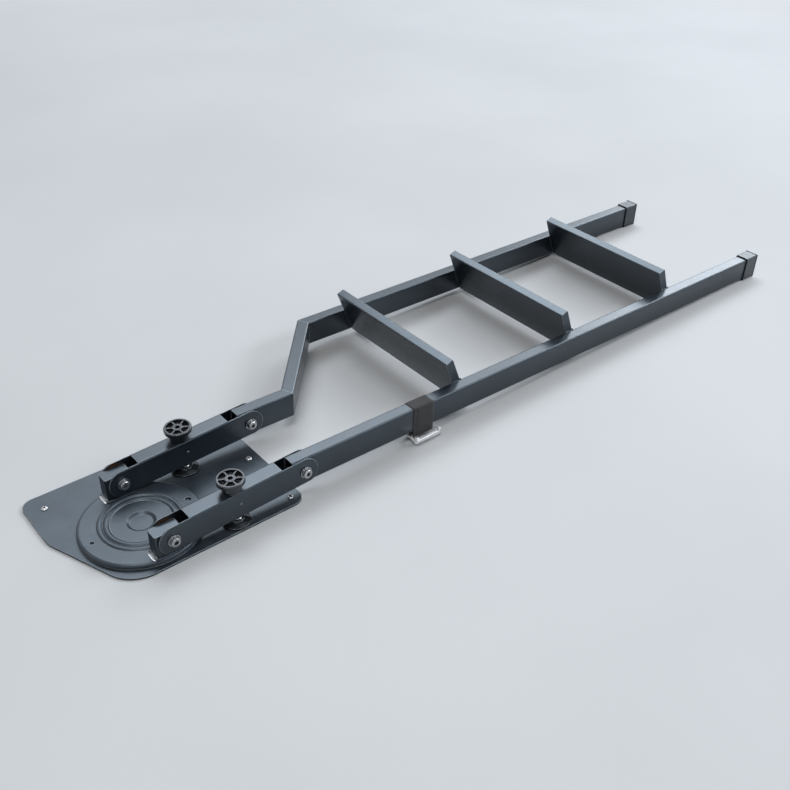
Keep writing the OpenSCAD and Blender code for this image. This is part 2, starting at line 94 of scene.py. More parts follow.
# Stage, in metres
LADDER_MIDDLE = Vector((0.55, 0.08, 0.0))
FLOOR_HALF, FLOOR_Z = 14.0, -0.0003
FADE_START, FADE_END = 2.0, 4.2
BACKGROUND, BACKGROUND_STRENGTH = (0.93, 0.95, 1.0), 0.8
AMBIENT, AMBIENT_STRENGTH = (0.86, 0.92, 1.0), 0.14


# Frames

def at(x, y, z):
    """A move by millimetres."""
    return Matrix.Translation((x * MM, y * MM, z * MM))


def on_arm(y):
    """Frame of an arm: origin at its lower pin, +X along the arm."""
    return at(PIN_X, y, PIN_Z) @ Matrix.Rotation(-ARM_PITCH, 4, "Y")


def on_ladder(y):
    """Frame of the ladder: origin at its pins, +X along the rails."""
    return at(LADDER_PIN_X, y, LADDER_PIN_Z) @ Matrix.Rotation(LADDER_TILT, 4, "Y")


# Materials

class Graph:
    """A material's node tree, built with short calls. Noise scales count features per metre."""

    def __init__(self, name):
        self.material = bpy.data.materials.new(name)
        self.material.use_nodes = True
        self.tree = self.material.node_tree
        self.tree.nodes.clear()
        self.coords = self.add("TexCoord")

    def add(self, kind, settings=None, **inputs):
        node = self.tree.nodes.new("ShaderNode" + kind)
        for key, value in (settings or {}).items():
            setattr(node, key, value)
        for key, value in inputs.items():
            self.put(node.inputs[key.replace("_", " ")], value)
        return node

    def put(self, socket, value):
        if isinstance(value, bpy.types.NodeSocket):
            self.tree.links.new(value, socket)
        else:
            socket.default_value = value

    def math(self, operation, a, b=0.5, c=0.5):
        node = self.add("Math", {"operation": operation})
        for socket, value in zip(node.inputs, (a, b, c)):
            self.put(socket, value)
        return node.outputs[0]

    def noise(self, scale, detail=2.0, roughness=0.5, stretch=None):
        where = self.coords.outputs["Object"]
        if stretch:
            where = self.add("Mapping", Vector=where, Scale=stretch).outputs[0]
        return self.add("TexNoise", Vector=where, Scale=scale, Detail=detail,
                        Roughness=roughness).outputs["Fac"]

    def step(self, value, low, high, top=1.0):
        """0 below low, top above high, smooth between."""
        node = self.add("MapRange", {"interpolation_type": "SMOOTHSTEP"}, Value=value)
        for key, number in (("From Min", low), ("From Max", high), ("To Min", 0.0), ("To Max", top)):
            node.inputs[key].default_value = number
        return node.outputs[0]

    def mix(self, factor, a, b):
        """Colour a where factor is 0, b where it is 1."""
        node = self.add("Mix", {"data_type": "RGBA"})
        for socket, value in zip((node.inputs[0], node.inputs[6], node.inputs[7]), (factor, a, b)):
            self.put(socket, value if isinstance(value, (float, bpy.types.NodeSocket)) else (*value, 1.0))
        return node.outputs[2]

    def upward(self):
        """How far the surface faces up in the piece's own frame, from -1 to 1."""
        return self.add("SeparateXYZ", Vector=self.coords.outputs["Normal"]).outputs[2]

    def edges(self, radius, low, high):
        """A bevelled normal, and a mask of the edges from how far it leaves the true one."""
        soft = self.add("Bevel", {"samples": 6}, Radius=radius).outputs[0]
        true = self.add("NewGeometry").outputs["Normal"]
        dot = self.add("VectorMath", {"operation": "DOT_PRODUCT"})
        self.put(dot.inputs[0], soft)
        self.put(dot.inputs[1], true)
        return soft, self.step(self.math("SUBTRACT", 1.0, dot.outputs["Value"]), low, high)

    def painted_recess_shade(self, color, shade_color, reach, amount):
        """Painted shade: a darker colour mixed in where ambient occlusion finds the surface closed in."""
        open_sky = self.add("AmbientOcclusion", {"samples": 6}, Distance=reach).outputs["AO"]
        closed = self.math("MULTIPLY", self.math("SUBTRACT", 1.0, self.step(open_sky, 0.25, 0.85)), amount)
        return self.mix(closed, color, shade_color)

    def bump(self, height, distance, normal=None, strength=1.0):
        node = self.add("Bump", Height=height, Distance=distance, Strength=strength)
        if normal is not None:
            self.put(node.inputs["Normal"], normal)
        return node.outputs[0]

    def finish(self, color, roughness, normal, **constants):
        shader = self.add("BsdfPrincipled", Base_Color=color, Roughness=roughness, Normal=normal)
        for key, value in constants.items():
            shader.inputs[key.replace("_", " ")].default_value = value
        self.shaded = shader.outputs[0]
        self.surface = self.add("OutputMaterial", Surface=self.shaded).inputs["Surface"]
        return self.material


def powder_coat(name, dark, light, dust, wear_and_highlight, roughness, dust_amount, gloss):
    """Satin powder coat: orange peel, cloudy colour, dust on upward faces, paler edges that are partly
    rubbed coat and partly a painted highlight, and painted shade in its recesses.
    """
    g = Graph(name)
    cloud = g.step(g.noise(14.0, 3.0), 0.35, 0.65)
    color = g.mix(cloud, dark, light)
    speckle = g.step(g.noise(420.0, 3.0, 0.7), 0.5, 0.72)
    lies = g.math("MULTIPLY", g.step(g.upward(), 0.55, 0.95), g.step(g.noise(26.0, 4.0, 0.65), 0.38, 0.7))
    dusty = g.math("MULTIPLY", lies, g.math("MULTIPLY_ADD", speckle, 0.6, 0.4))
    dusty = g.math("MULTIPLY", dusty, dust_amount)
    color = g.mix(dusty, color, dust)
    soft, edge = g.edges(radius=0.0012, low=0.01, high=0.09)
    # The edges are made paler: partly rubbed coat, partly a painted highlight along them.
    rubbed_and_highlit = g.math("MULTIPLY", edge, g.step(g.noise(45.0, 3.0, 0.6), 0.1, 0.55, 0.85))
    color = g.mix(rubbed_and_highlit, color, wear_and_highlight)
    # Painted shade in the coat's recesses.
    color = g.painted_recess_shade(color, shade_color=(0.004, 0.005, 0.006), reach=0.006, amount=0.75)
    rough = g.math("MULTIPLY_ADD", g.noise(90.0, 3.0), 0.08, roughness - 0.04)
    rough = g.math("MULTIPLY_ADD", dusty, 0.3, rough)
    peel = g.bump(g.noise(600.0, 1.0), 0.00001, soft, 0.4)
    # The blue specular tint paints the sky's colour into the coat's reflections.
    return g.finish(color, rough, peel, Specular_IOR_Level=gloss, Specular_Tint=(0.74, 0.88, 1.0, 1.0))


def moulded(name, dark, light, roughness, grain, depth, rim, rim_amount):
    """Moulded plastic or rubber with a fine grain, a little grey bloom, edges painted in another colour and
    painted shade in its recesses.
    """
    g = Graph(name)
    color = g.mix(g.step(g.noise(30.0, 3.0), 0.3, 0.7), dark, light)
    patches = g.step(g.noise(140.0, 4.0, 0.7), 0.45, 0.75, 0.3)
    bloom = g.math("MULTIPLY", g.step(g.upward(), 0.3, 1.0), patches)
    color = g.mix(bloom, color, (0.07, 0.075, 0.08))
    soft, edge = g.edges(radius=0.0008, low=0.02, high=0.14)
    # The edges take the rim colour: a painted highlight on the black plastic and the glides, darker edges on
    # the cap rubber.
    color = g.mix(g.math("MULTIPLY", edge, rim_amount), color, rim)
    # Painted shade in the pockets and recesses.
    color = g.painted_recess_shade(color, shade_color=(0.002, 0.002, 0.003), reach=0.008, amount=0.9)
    rough = g.math("MULTIPLY_ADD", g.noise(120.0, 3.0), 0.12, roughness - 0.06)
    # The blue specular tint paints the sky's colour into the plastic's reflections.
    return g.finish(color, rough, g.bump(g.noise(grain, 2.0), depth, soft, 0.6), Specular_IOR_Level=0.6,
                    Specular_Tint=(0.84, 0.92, 1.0, 1.0))


def metal(name, clean, dull, roughness, scratch, worn_mask=0.6, metallic=1.0):
    """Plated or cast metal with fine marks, dull patches and painted shade in its recesses."""
    g = Graph(name)
    patch = g.step(g.noise(110.0, 4.0, 0.6), 0.4, 0.72, worn_mask)
    color = g.mix(patch, clean, dull)
    # Painted shade in sockets, thread roots and other recesses.
    color = g.painted_recess_shade(color, shade_color=(0.01, 0.01, 0.011), reach=0.004, amount=0.95)
    marks = g.noise(scratch, 3.0, 0.7, (1.0, 1.0, 0.12))
    rough = g.math("MULTIPLY_ADD", marks, 0.22, roughness - 0.11)
    rough = g.math("MULTIPLY_ADD", patch, 0.18, rough)
    soft = g.edges(radius=0.0004, low=0.0, high=1.0)[0]
    return g.finish(color, rough, g.bump(marks, 0.00002, soft, 0.5), Metallic=metallic)


def woven(name, dark, light, dust):
    """Ribbed polyester webbing: threads across the ribs and pale fibres on the crowns."""
    g = Graph(name)
    threads = g.add("TexWave", {"wave_type": "BANDS", "bands_direction": "X"},
                    Vector=g.coords.outputs["Object"], Scale=330.0, Distortion=0.6, Detail=1.0)
    fibre = g.noise(1500.0, 3.0, 0.7)
    color = g.mix(g.math("MULTIPLY", threads.outputs["Fac"], 0.6), dark, light)
    color = g.mix(g.step(fibre, 0.62, 0.8, 0.4), color, dust)
    height = g.math("MULTIPLY_ADD", fibre, 0.5, threads.outputs["Fac"])
    rough = g.math("MULTIPLY_ADD", fibre, 0.2, 0.68)
    return g.finish(color, rough, g.bump(height, 0.00015, None, 0.7), Sheen_Weight=0.25, Sheen_Roughness=0.4)


# The pale edge colours are partly rubbed coat and partly a painted highlight.
FRAME = powder_coat("frame_powder_coat", dark=(0.0065, 0.0088, 0.012), light=(0.010, 0.0135, 0.0185),
                    dust=(0.07, 0.085, 0.10), wear_and_highlight=(0.42, 0.47, 0.52), roughness=0.29, dust_amount=0.12,
                    gloss=0.85)
PLATE = powder_coat("plate_powder_coat", dark=(0.013, 0.017, 0.023), light=(0.020, 0.026, 0.034),
                    dust=(0.11, 0.13, 0.15), wear_and_highlight=(0.46, 0.51, 0.56), roughness=0.36, dust_amount=0.3,
                    gloss=0.7)
# The pale rims of the plastic and the glides are a painted highlight on their edges; the rubber's rim only
# makes its edges darker.
PLASTIC = moulded("black_moulded_plastic", dark=(0.008, 0.009, 0.010), light=(0.013, 0.014, 0.016),
                  roughness=0.30, grain=1600.0, depth=0.00004, rim=(0.42, 0.44, 0.46), rim_amount=0.75)
GLIDE = moulded("glossy_glide_plastic", dark=(0.010, 0.0115, 0.0135), light=(0.018, 0.020, 0.023),
                roughness=0.15, grain=900.0, depth=0.00001, rim=(0.42, 0.44, 0.46), rim_amount=0.75)
RUBBER = moulded("cap_rubber_compound", dark=(0.020, 0.024, 0.029), light=(0.030, 0.035, 0.042),
                 roughness=0.36, grain=1100.0, depth=0.00005, rim=(0.010, 0.012, 0.014), rim_amount=0.8)
STEEL = metal("zinc_plated_steel", clean=(0.46, 0.47, 0.48), dull=(0.15, 0.155, 0.16), roughness=0.26,
              scratch=900.0)
# The near-white base, only partly metallic, shows white from every side: a painted glint of the plating.
BRIGHT = metal("plated_steel_painted_glint", clean=(0.95, 0.955, 0.96), dull=(0.82, 0.83, 0.84), roughness=0.2,
               scratch=700.0, worn_mask=0.25, metallic=0.55)
BRONZE = metal("dull_bronze", clean=(0.12, 0.06, 0.035), dull=(0.03, 0.022, 0.018), roughness=0.5,
               scratch=800.0, worn_mask=0.95)
WEBBING = woven("black_ribbed_webbing", dark=(0.006, 0.006, 0.007), light=(0.040, 0.040, 0.041),
                dust=(0.14, 0.14, 0.14))

SLOTS = {"frame_coat": FRAME, "plate_coat": PLATE, "black_plastic": PLASTIC, "cap_rubber": RUBBER,
         "steel": STEEL, "bright_steel": BRIGHT, "bronze": BRONZE, "webbing": WEBBING}

# The glides are glossier than the other plastic
OWN_FINISH = {"near_glide": GLIDE, "far_glide": GLIDE}

for part in frame["record"]["subparts"]:
    mesh = frame["nodes"][part["node"]].data
    material = OWN_FINISH.get(part["node"], SLOTS[part["material_slot"]])
    for i in range(max(1, len(mesh.materials))):
        if i < len(mesh.materials):
            mesh.materials[i] = material
        else:
            mesh.materials.append(material)


# Meshes

def piece(name, verts, faces, place, body, slot, smooth=False):
    """A piece from a mesh in millimetres, set in the frame place, which rides on a body."""
    mesh = bpy.data.meshes.new(name)
    mesh.from_pydata([place @ (Vector(v) * MM) for v in verts], [], faces)
    mesh.validate()
    bm = bmesh.new()
    bm.from_mesh(mesh)
    bmesh.ops.recalc_face_normals(bm, faces=bm.faces)
    bm.to_mesh(mesh)
    bm.free()
    if smooth:
        mesh.shade_smooth()
    mesh.materials.append(SLOTS[slot])
    obj = bpy.data.objects.new(name, mesh)
    bpy.context.scene.collection.objects.link(obj)
    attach(obj, body)
    return obj


def lofted(rings, closed=False):
    """Vertices and faces of a skin over rings of equal length, capped unless closed."""
    n = len(rings[0])
    verts = [p for ring in rings for p in ring]
    faces = []
    for i in range(len(rings) if closed else len(rings) - 1):
        a, b = i * n, (i + 1) % len(rings) * n
        faces += [(a + k, a + (k + 1) % n, b + (k + 1) % n, b + k) for k in range(n)]
    if not closed:
        faces += [tuple(range(n))[::-1], tuple((len(rings) - 1) * n + k for k in range(n))]
    return verts, faces


def turned(outline, segments=48):
    """A ring: a closed outline of (radius, height) points turned round Z."""
    turns = (2 * math.pi * k / segments for k in range(segments))
    return lofted([[(r * math.cos(t), r * math.sin(t), z) for r, z in outline] for t in turns], closed=True)


def rounded_loop(w, h, r, step):
    """Points (a, b, normal a, normal b, run) round a rectangle with round corners."""
    corners = [(w / 2 - r, h / 2 - r, 0), (r - w / 2, h / 2 - r, 90),
               (r - w / 2, r - h / 2, 180), (w / 2 - r, r - h / 2, 270)]
    turns = max(4, round(r * math.pi / 2 / step))
    points = []
    for i, (ca, cb, start) in enumerate(corners):
        arc = [math.radians(start + 90 * k / turns) for k in range(turns + 1)]
        points += [(ca + r * math.cos(t), cb + r * math.sin(t), math.cos(t), math.sin(t)) for t in arc]
        a, b, normal_a, normal_b = points[-1]
        next_a, next_b, _ = corners[(i + 1) % 4]
        goal_a = next_a + r * math.cos(arc[-1])
        goal_b = next_b + r * math.sin(arc[-1])
        n = max(1, round(math.dist((a, b), (goal_a, goal_b)) / step))
        points += [(a + (goal_a - a) * k / n, b + (goal_b - b) * k / n, normal_a, normal_b)
                   for k in range(1, n)]
    loop, run = [], 0.0
    for i, p in enumerate(points):
        if i:
            run += math.dist(p[:2], points[i - 1][:2])
        loop.append((*p, run))
    return loop


def socket_screw(head_r, head_h, hex_r, shank_r, shank, segments=36):
    """Button head with a hexagon socket: its underside is at z = 0, and its shank below."""
    edge, lip, chamfer, socket_depth, drill_depth, drill_r = 0.5, 0.12, 0.3, 1.6, 2.0, 0.2

    def ring(r, z, six=False):
        points = []
        for k in range(segments):
            t = 2 * math.pi * k / segments
            flat = math.cos(math.pi / 6) / math.cos((t % (math.pi / 3)) - math.pi / 6) if six else 1.0
            points.append((r * flat * math.cos(t), r * flat * math.sin(t), z))
        return points

    rings = [ring(shank_r, -shank), ring(shank_r, 0), ring(head_r, 0)]
    for degrees in (0, 12, 25, 38, 50, 60):
        a = math.radians(degrees)
        rings.append(ring(head_r * math.cos(a), edge + (head_h - edge) * math.sin(a)))
    rings += [ring(hex_r * 1.1, head_h - lip), ring(hex_r, head_h - chamfer, True),
              ring(hex_r, head_h - socket_depth, True), ring(drill_r, head_h - drill_depth)]
    return lofted(rings)


# Plate screws: button heads with a hexagon socket

end_y, side_x = END_SCREW_SPACING / 2, SIDE_SCREW_SPACING / 2
plate_screws = [("end_near", END_SCREW_X, END_SCREW_Y - end_y),
                ("end_far", END_SCREW_X, END_SCREW_Y + end_y),
                ("corner_left", -side_x, SIDE_SCREW_Y),
                ("corner_right", side_x, SIDE_SCREW_Y)]
for label, x, y in plate_screws:
    verts, faces = socket_screw(head_r=4.6, head_h=2.7, hex_r=1.75, shank_r=2.35, shank=2.6)
    piece("plate_screw_" + label, verts, faces, at(x, y, PLATE_T), "base", "steel")


# Weld beads under the coat

def resampled(path, step, closed):
    """Points every step along a polyline."""
    points = [Vector(p) for p in path]
    if closed:
        points.append(points[0])
    out = []
    for a, b in zip(points, points[1:]):
        n = max(1, round((b - a).length / step))
        out += [a.lerp(b, k / n) for k in range(n)]
    return out if closed else out + [points[-1]]


def weld(path, seed, closed=False, swell=None):
    """Weld bead along a path: overlapping ripples with a slightly uneven width."""
    rng = random.Random(seed)
    points = resampled(path, BEAD_STEP, closed)
    n = len(points)
    rings, run, jitter = [], 0.0, 1.0
    for i, p in enumerate(points):
        before = points[i - 1] if i or closed else p
        after = points[(i + 1) % n] if i < n - 1 or closed else p
        along = (after - before).normalized()
        run += (p - points[i - 1]).length if i else 0.0
        if i % 5 == 0:
            jitter = rng.uniform(0.9, 1.1)
        ripple = 1.0 - RIPPLE_DEPTH * (run / RIPPLE_PITCH % 1.0)
        end = 1.0 if closed else min(1.0, 0.35 + min(i, n - 1 - i) * 0.2)
        r = BEAD_R * jitter * ripple * end * (swell(p) if swell else 1.0)
        if abs(along.z) > 0.9:
            side = along.orthogonal().normalized()
        else:
            side = along.cross(Vector((0, 0, 1))).normalized()
        up = side.cross(along)
        rings.append([p + (side * math.cos(t) + up * math.sin(t)) * r
                      for t in (2 * math.pi * k / BEAD_SIDES for k in range(BEAD_SIDES))])
    return lofted(rings, closed)


def post_flare(p):
    """The bead round a post's foot widens by half over 5 mm at the hinge end."""
    return 1.0 + 0.5 * max(0.0, min(1.0, (-p.x - 12.0) / 5.0))


post_middle = PIN_X - POST_BACK + POST_LEN / 2
for label, y, seed in (("near", -ARM_Y, 3), ("far", ARM_Y, 4)):
    loop = rounded_loop(POST_LEN + 2 * BEAD_OUT, RAIL_W + 2 * BEAD_OUT, RAIL_R, 1.0)
    path = [(a, b, BEAD_OUT) for a, b, normal_a, normal_b, run in loop]
    verts, faces = weld(path, seed, closed=True, swell=post_flare)
    place = at(post_middle, y, DISC_TOP)
    piece(label + "_post_weld", verts, faces, place, "turntable", "plate_coat", smooth=True)


# Treads of thinner section than the CAD's, and the beads at their ends

def tread_top(i):
    """Upper hinge-side corner of a tread in the frame of the near rail."""
    return Vector((TREAD_FIRST + i * TREAD_PITCH, 0, RAIL_H / 2 + TREAD_RISE))


def tread(i):
    """Flat box section with round edges and closed ends, in the frame of the near rail."""
    turn = Matrix.Rotation(-TREAD_LEAN, 4, "Y")
    loop = rounded_loop(TREAD_T, TREAD_DEPTH, TREAD_EDGE_R, 0.9)
    rings = []
    for k in range(TREAD_SLICES + 1):
        y = RAIL_W / 2 + LADDER_GAP * k / TREAD_SLICES
        rings.append([tread_top(i) + turn @ Vector((TREAD_T / 2 + p[0], y, p[1] - TREAD_DEPTH / 2))
                      for p in loop])
    return lofted(rings)


def tread_weld(i, y):
    """Path round the part of a tread's end that meets a rail, and over the rail's edge."""
    low, rim = RAIL_R - RAIL_H / 2, RAIL_H / 2 - BEAD_SUNK
    top = tread_top(i)

    def face(offset, z):
        """Place along the rail, at the height z, of the tread's face at an offset from its hinge side."""
        x = top.x + math.cos(TREAD_LEAN) * offset
        rise = z - (top.z + math.sin(TREAD_LEAN) * offset)
        return x - math.sin(TREAD_LEAN) * rise / math.cos(TREAD_LEAN)

    back = [(face(0, z), y, z) for z in (low, rim)]
    front = [(face(TREAD_T, z), y, z) for z in (rim, low)]
    return back + front


def blob(middle_x):
    """Widening of a bead by nine tenths within 6 mm of the place where it crosses the rail's edge."""
    def swell(p):
        away = Vector((p.x - middle_x, 0, p.z - RAIL_H / 2)).length
        return 1.0 + 0.9 * max(0.0, 1.0 - away / 6.0)
    return swell


for i in range(TREAD_COUNT):
    label = "tread_%d" % (i + 1)
    verts, faces = tread(i)
    panel = piece(label + "_panel", verts, faces, on_ladder(-ARM_Y), "ladder", "frame_coat")
    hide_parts(label)
    near = tread_weld(i, RAIL_W / 2)
    far = tread_weld(i, RAIL_W / 2 + LADDER_GAP)
    beads = [("near", near, 19 + 2 * i, blob(near[2][0])), ("far", far, 21 + 2 * i, None)]
    for end, path, seed, swell in beads:
        verts, faces = weld(path, seed, swell=swell)
        name = label + "_" + end + "_weld"
        piece(name, verts, faces, on_ladder(-ARM_Y), "ladder", "frame_coat", smooth=True)


# Spindles: the threaded length shows between the arm and the glide

def threaded_rod(bottom, top, thread_top, r, depth, pitch, segments=28, rows_per_turn=6):
    """Rod with a helical thread up to thread_top, a tapered lower end and a plain upper length."""
    rings = []
    rows = round((thread_top - bottom) / pitch * rows_per_turn)
    for j in range(rows + 1):
        z = bottom + (thread_top - bottom) * j / rows
        taper = min(1.0, 0.75 + (z - bottom) * 0.12)
        ring = []
        for k in range(segments):
            phase = (z / pitch - k / segments) % 1.0
            cut = depth * min(1.0, abs(2 * phase - 1.0) * 1.25)
            t = 2 * math.pi * k / segments
            ring.append(((r - cut) * taper * math.cos(t), (r - cut) * taper * math.sin(t), z))
        rings.append(ring)
    for radius, z in ((r - depth, thread_top + 0.2), (r, thread_top + 1.0), (r, top)):
        turns = (2 * math.pi * k / segments for k in range(segments))
        rings.append([(radius * math.cos(t), radius * math.sin(t), z) for t in turns])
    return lofted(rings)


foot_drop = PIN_Z + FOOT_X * math.sin(ARM_PITCH) - PLATE_T
foot_end = -(foot_drop - (GLIDE_H - GLIDE_SOCKET) - SPINDLE_GAP) / math.cos(ARM_PITCH)
for label, y in (("near", -ARM_Y), ("far", ARM_Y)):
    verts, faces = threaded_rod(foot_end, EAR_R + SPINDLE_IN_BOSS, THREAD_TOP, SPINDLE_R, THREAD_DEPTH,
                                THREAD_PITCH)
    place = on_arm(y) @ at(FOOT_X, 0, 0)
    rod = piece(label + "_spindle_thread", verts, faces, place, label + "_screw", "steel", smooth=True)
    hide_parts(label + "_spindle")


# Plated collars on the glides, and the grub screws of the handwheels and of the nuts in the arms

glide_x = PIN_X + FOOT_X * math.cos(ARM_PITCH) + foot_drop * math.sin(ARM_PITCH)
for label, y, angle in (("near", -ARM_Y, 216.5), ("far", ARM_Y, 80.0)):
    verts, faces = turned(COLLAR)
    piece(label + "_glide_collar", verts, faces, at(glide_x, y, PLATE_T + GLIDE_H), label + "_foot", "steel")
    verts, faces = socket_screw(head_r=1.5, head_h=0.7, hex_r=0.8, shank_r=1.2, shank=1.0, segments=24)
    outward = Matrix.Rotation(math.radians(angle), 4, "Z") @ Matrix.Rotation(math.pi / 2, 4, "Y")
    place = on_arm(y) @ at(FOOT_X, 0, WHEEL_GRUB_Z) @ outward @ at(0, 0, BOSS_R)
    piece(label + "_wheel_grub", verts, faces, place, label + "_screw", "steel")
    place = on_arm(y) @ at(NUT_GRUB_X, -ARM_W / 2, NUT_GRUB_Z) @ Matrix.Rotation(math.pi / 2, 4, "X")
    piece(label + "_nut_grub", verts, faces, place, "arms", "steel")


# Weld fillets at the hinge end of the posts' feet

def fillet(length, leg, steps=6, slices=12):
    """Hollow fillet along Y: it runs from the floor up the wall at x = 0, on its -X side."""
    hollow, off_wall = 0.9, 0.86
    outline = [(0.0, 0.0), (0.0, leg)]
    for k in range(steps + 1):
        t = math.pi / 2 * k / steps
        outline.append((leg * (off_wall * hollow * math.cos(t) - 1.0), leg * (1.0 - hollow * math.sin(t))))
    outline.append((-leg, 0.0))
    rings = []
    for k in range(slices + 1):
        u = -1.0 + 2.0 * k / slices
        size = math.sqrt(max(0.05, 1.0 - u ** 6))
        rings.append([(x * size, u * length / 2, z * size) for x, z in outline])
    return lofted(rings)


for label, y in (("near", -ARM_Y), ("far", ARM_Y)):
    verts, faces = fillet(RAIL_W + FILLET_PAST_POST, FILLET_LEG)
    piece(label + "_post_fillet", verts, faces, at(PIN_X - POST_BACK, y, DISC_TOP), "turntable", "steel")


# Dark flanges round the closed ends of the foot caps, flush underneath

def cap_flange():
    """Thin plate over a cap's closed end, with rounded rims, in the frame of its rail."""
    loop = rounded_loop(CAP_W + 2 * FLANGE, CAP_H + FLANGE, FLANGE_R, 0.6)
    rings = []
    for x, inset in FLANGE_RIM:
        rings.append([(LADDER_REACH + x, a - normal_a * inset, b - normal_b * inset + FLANGE / 2)
                      for a, b, normal_a, normal_b, run in loop])
    return lofted(rings)


for label, y in (("near", -ARM_Y), ("far", FAR_Y)):
    verts, faces = cap_flange()
    piece(label + "_cap_flange", verts, faces, on_ladder(y), "ladder", "black_plastic")


# Strap: two layers of ribbed webbing round the near rail

def webbing(x0, x1, gap, thickness, crown, columns=16):
    """A loop of webbing with ribs across it and thinner edges, at that gap from the rail's sides."""
    w = RAIL_W + 2 * gap
    h = RAIL_H + 2 * STRAP_GAP + STRAP_DROP
    rings = []
    for a, b, normal_a, normal_b, run in rounded_loop(w, h, RAIL_R + gap - STRAP_GAP, STRAP_RIB / 6):
        dip = crown * (0.5 + 0.5 * math.cos(2 * math.pi * run / STRAP_RIB))
        middle = b - STRAP_DROP / 2
        outer, inner = [], []
        for k in range(columns + 1):
            u = k / columns
            x = x0 + (x1 - x0) * u
            out = thickness * min(1.0, 0.35 + 8.0 * min(u, 1.0 - u)) - dip
            outer.append((x, a + normal_a * out, middle + normal_b * out))
            inner.append((x, a, middle))
        rings.append(outer + inner[::-1])
    return lofted(rings, closed=True)


strap_back, strap_front = STRAP_X - STRAP_W / 2, STRAP_X + STRAP_W / 2
verts, faces = webbing(strap_back, strap_front - INNER_SHORT, STRAP_GAP, thickness=INNER_T, crown=0.12)
piece("strap_inner_layer", verts, faces, on_ladder(-ARM_Y), "ladder", "webbing", smooth=True)
verts, faces = webbing(strap_back + INNER_BARE, strap_front, STRAP_GAP + STRAP_T / 2,
                       thickness=STRAP_T / 2, crown=0.35)
strap = piece("strap_outer_layer", verts, faces, on_ladder(-ARM_Y), "ladder", "webbing", smooth=True)
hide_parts("strap")


# Buckle: a plate with a slot, a deeper front bar and upturned ends

def blocks(xs, ys, zs, solid, bevel):
    """Solid of grid cells as one closed mesh with bevelled edges."""
    bm = bmesh.new()
    corner = {}

    def vert(i, j, k):
        if (i, j, k) not in corner:
            corner[i, j, k] = bm.verts.new((xs[i], ys[j], zs[k]))
        return corner[i, j, k]

    quads = {(1, 0, 0): ((1, 0, 0), (1, 1, 0), (1, 1, 1), (1, 0, 1)),
             (-1, 0, 0): ((0, 0, 0), (0, 0, 1), (0, 1, 1), (0, 1, 0)),
             (0, 1, 0): ((0, 1, 0), (0, 1, 1), (1, 1, 1), (1, 1, 0)),
             (0, -1, 0): ((0, 0, 0), (1, 0, 0), (1, 0, 1), (0, 0, 1)),
             (0, 0, 1): ((0, 0, 1), (1, 0, 1), (1, 1, 1), (0, 1, 1)),
             (0, 0, -1): ((0, 0, 0), (0, 1, 0), (1, 1, 0), (1, 0, 0))}
    for i, j, k in solid:
        for (di, dj, dk), quad in quads.items():
            if (i + di, j + dj, k + dk) not in solid:
                bm.faces.new([vert(i + a, j + b, k + c) for a, b, c in quad])
    bmesh.ops.dissolve_limit(bm, angle_limit=0.01, verts=bm.verts, edges=bm.edges)
    sharp = [e for e in bm.edges if e.calc_face_angle(0.0) > 0.5]
    bmesh.ops.bevel(bm, geom=sharp, offset=bevel, segments=3, profile=0.5, affect="EDGES",
                    clamp_overlap=True)
    verts = [v.co.copy() for v in bm.verts]
    bm.verts.index_update()
    faces = [tuple(v.index for v in f.verts) for f in bm.faces]
    bm.free()
    return verts, faces


loop_y = RAIL_W / 2 + STRAP_GAP
loop_z = RAIL_H / 2 + STRAP_GAP + STRAP_DROP
buckle_len = STRAP_W + 2 * (STRAP_GAP + BUCKLE_SIDE)
slot_back = loop_y - STRAP_GAP
slot_front = loop_y + STRAP_T + BUCKLE_SLOT
back_edge = BUCKLE_PLATE - slot_back
cells = {(i, j, 1) for i in range(3) for j in range(3)} - {(1, 1, 1)}
cells |= {(i, 0, k) for i in range(3) for k in (0, 2)} | {(0, 0, 3), (2, 0, 3)}
verts, faces = blocks([0, BUCKLE_SIDE, buckle_len - BUCKLE_SIDE, buckle_len],
                      [-slot_front - BUCKLE_BAR, -slot_front, -slot_back, back_edge],
                      BUCKLE_LEVELS, cells, BUCKLE_BEVEL)
place = (on_ladder(-ARM_Y) @ at(STRAP_X - buckle_len / 2, back_edge, STRAP_GAP + RAIL_R - loop_z)
         @ Matrix.Rotation(BUCKLE_TILT, 4, "X") @ at(0, -back_edge, 0))
buckle = piece("strap_buckle_plate", verts, faces, place, "ladder", "bright_steel")
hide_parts("strap_buckle")


# Floor

def floor_material():
    """Pale floor, which fades to the background's colour for the camera past the lamps' reach."""
    g = Graph("studio_floor")
    color = g.mix(g.step(g.noise(1.5, 3.0), 0.3, 0.7), (0.52, 0.53, 0.54), (0.555, 0.565, 0.575))
    g.finish(color, 0.85, g.bump(g.noise(60.0, 3.0), 0.0005, None, 0.2), Specular_IOR_Level=0.2)
    reach = g.add("VectorMath", {"operation": "DISTANCE"}, Vector=g.coords.outputs["Object"])
    reach.inputs[1].default_value = LADDER_MIDDLE
    far = g.step(reach.outputs["Value"], FADE_START, FADE_END)
    far = g.math("MULTIPLY", far, g.add("LightPath").outputs["Is Camera Ray"])
    haze = g.add("Emission", Color=(*BACKGROUND, 1.0), Strength=BACKGROUND_STRENGTH)
    blend = g.add("MixShader")
    for socket, value in zip(blend.inputs, (far, g.shaded, haze.outputs[0])):
        g.put(socket, value)
    g.put(g.surface, blend.outputs[0])
    return g.material


corners = [(-1, -1), (1, -1), (1, 1), (-1, 1)]
mesh = bpy.data.meshes.new("studio_floor")
mesh.from_pydata([(x * FLOOR_HALF, y * FLOOR_HALF, FLOOR_Z) for x, y in corners], [], [(0, 1, 2, 3)])
mesh.materials.append(floor_material())
floor = bpy.data.objects.new("studio_floor", mesh)
bpy.context.scene.collection.objects.link(floor)


# World: pale where the camera, gloss and glass see it, and a dim light elsewhere

